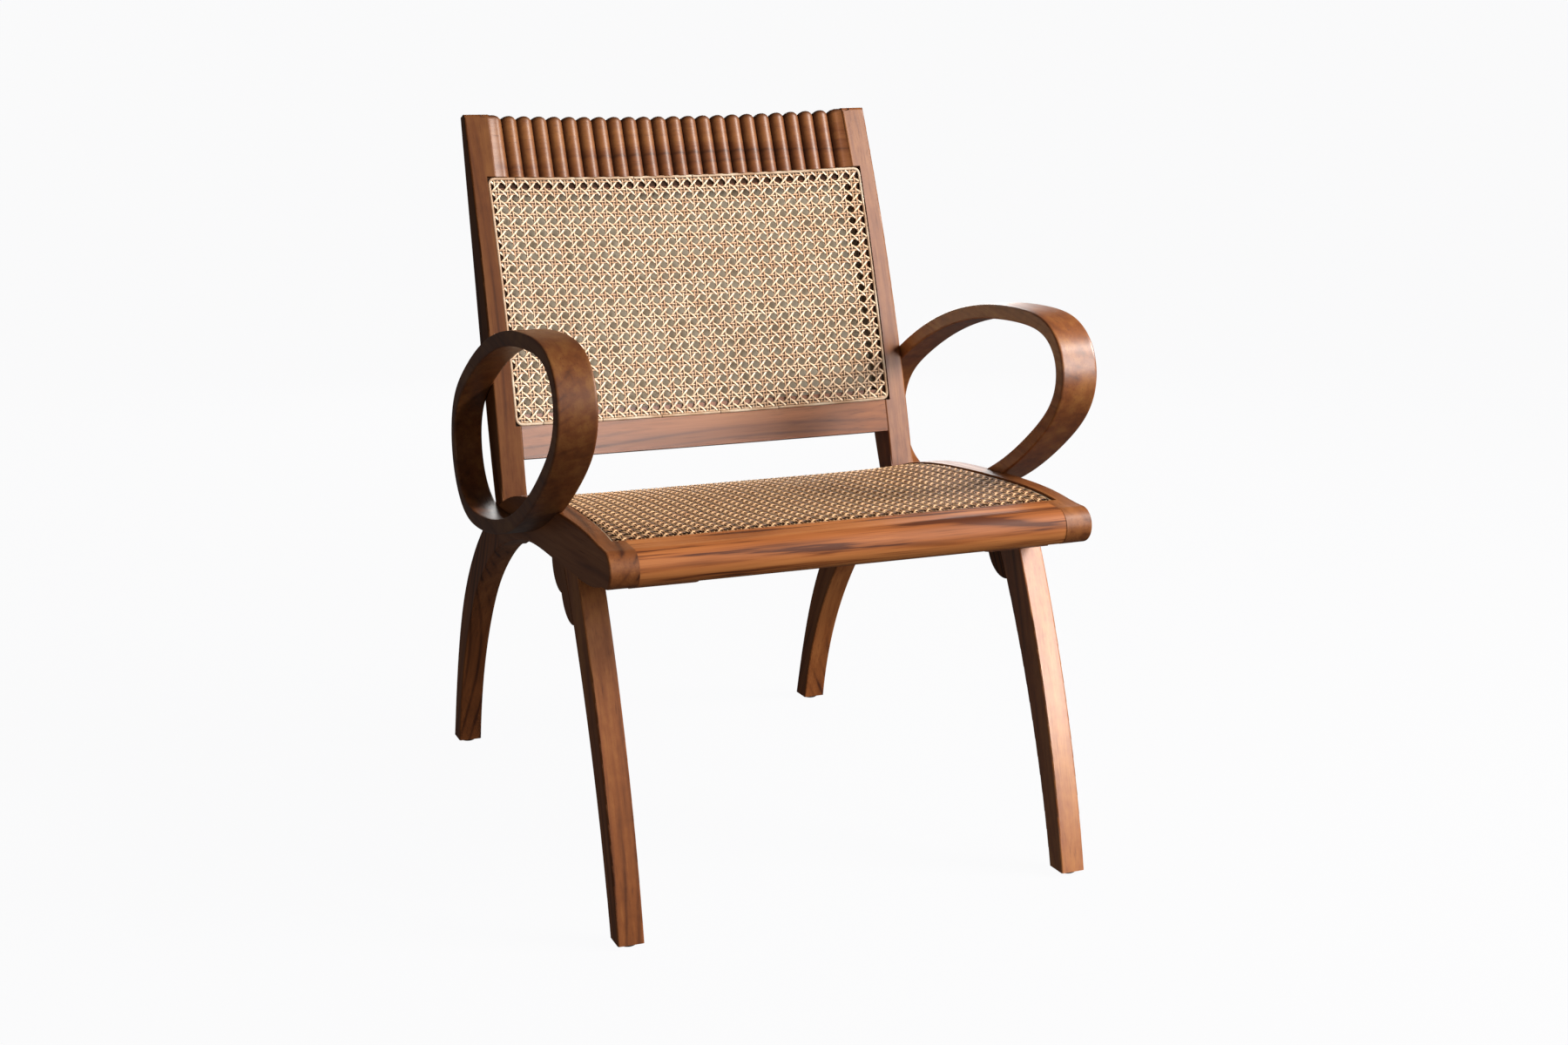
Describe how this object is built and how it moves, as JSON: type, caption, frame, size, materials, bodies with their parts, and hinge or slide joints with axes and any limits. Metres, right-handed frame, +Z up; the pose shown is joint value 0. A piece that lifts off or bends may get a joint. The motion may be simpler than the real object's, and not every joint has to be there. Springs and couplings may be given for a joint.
{
  "type": "planters chair",
  "caption": "Hardwood lounge chair with closed loop arms, sabre rear legs, a reeded bowed crest rail and woven cane seat and back.",
  "frame": {"origin": "on the floor under the middle of the chair, halfway between the fronts of the front feet and the heels of the rear feet", "axes": "+X to the right of the chair seen from the front, -Y towards the front, +Z up"},
  "size_m": [0.6182, 0.7394, 0.8268],
  "materials": {
    "teak": "satin",
    "cane": "satin",
    "spline": "satin",
    "dowel": "matte",
    "steel": "brushed",
    "glide": "satin"
  },
  "bodies": {
    "root": {"side_rail_right": "teak", "side_rail_left": "teak", "front_leg_right": "teak", "front_leg_left": "teak", "front_leg_bracket_right": "teak", "front_leg_bracket_left": "teak", "rear_leg_right": "teak", "rear_leg_left": "teak", "arm_loop_right": "teak", "arm_loop_left": "teak", "back_stile_right": "teak", "back_stile_left": "teak", "front_corner_plate_right": "teak", "front_corner_plate_left": "teak", "rear_corner_block_right": "teak", "rear_corner_block_left": "teak", "crest_rail": "teak", "lower_back_rail": "teak", "front_rail": "teak", "rear_seat_rail": "teak", "cane_back": "cane", "cane_seat": "cane", "back_cane_spline": "spline", "seat_cane_spline": "spline", "glide_front_right": "glide", "glide_front_left": "glide", "glide_rear_right": "glide", "glide_rear_left": "glide", "rail_dowels": "dowel", "arm_screws": "steel", "plate_screws": "steel", "back_joint_pins": "dowel"}
  },
  "joints": []
}
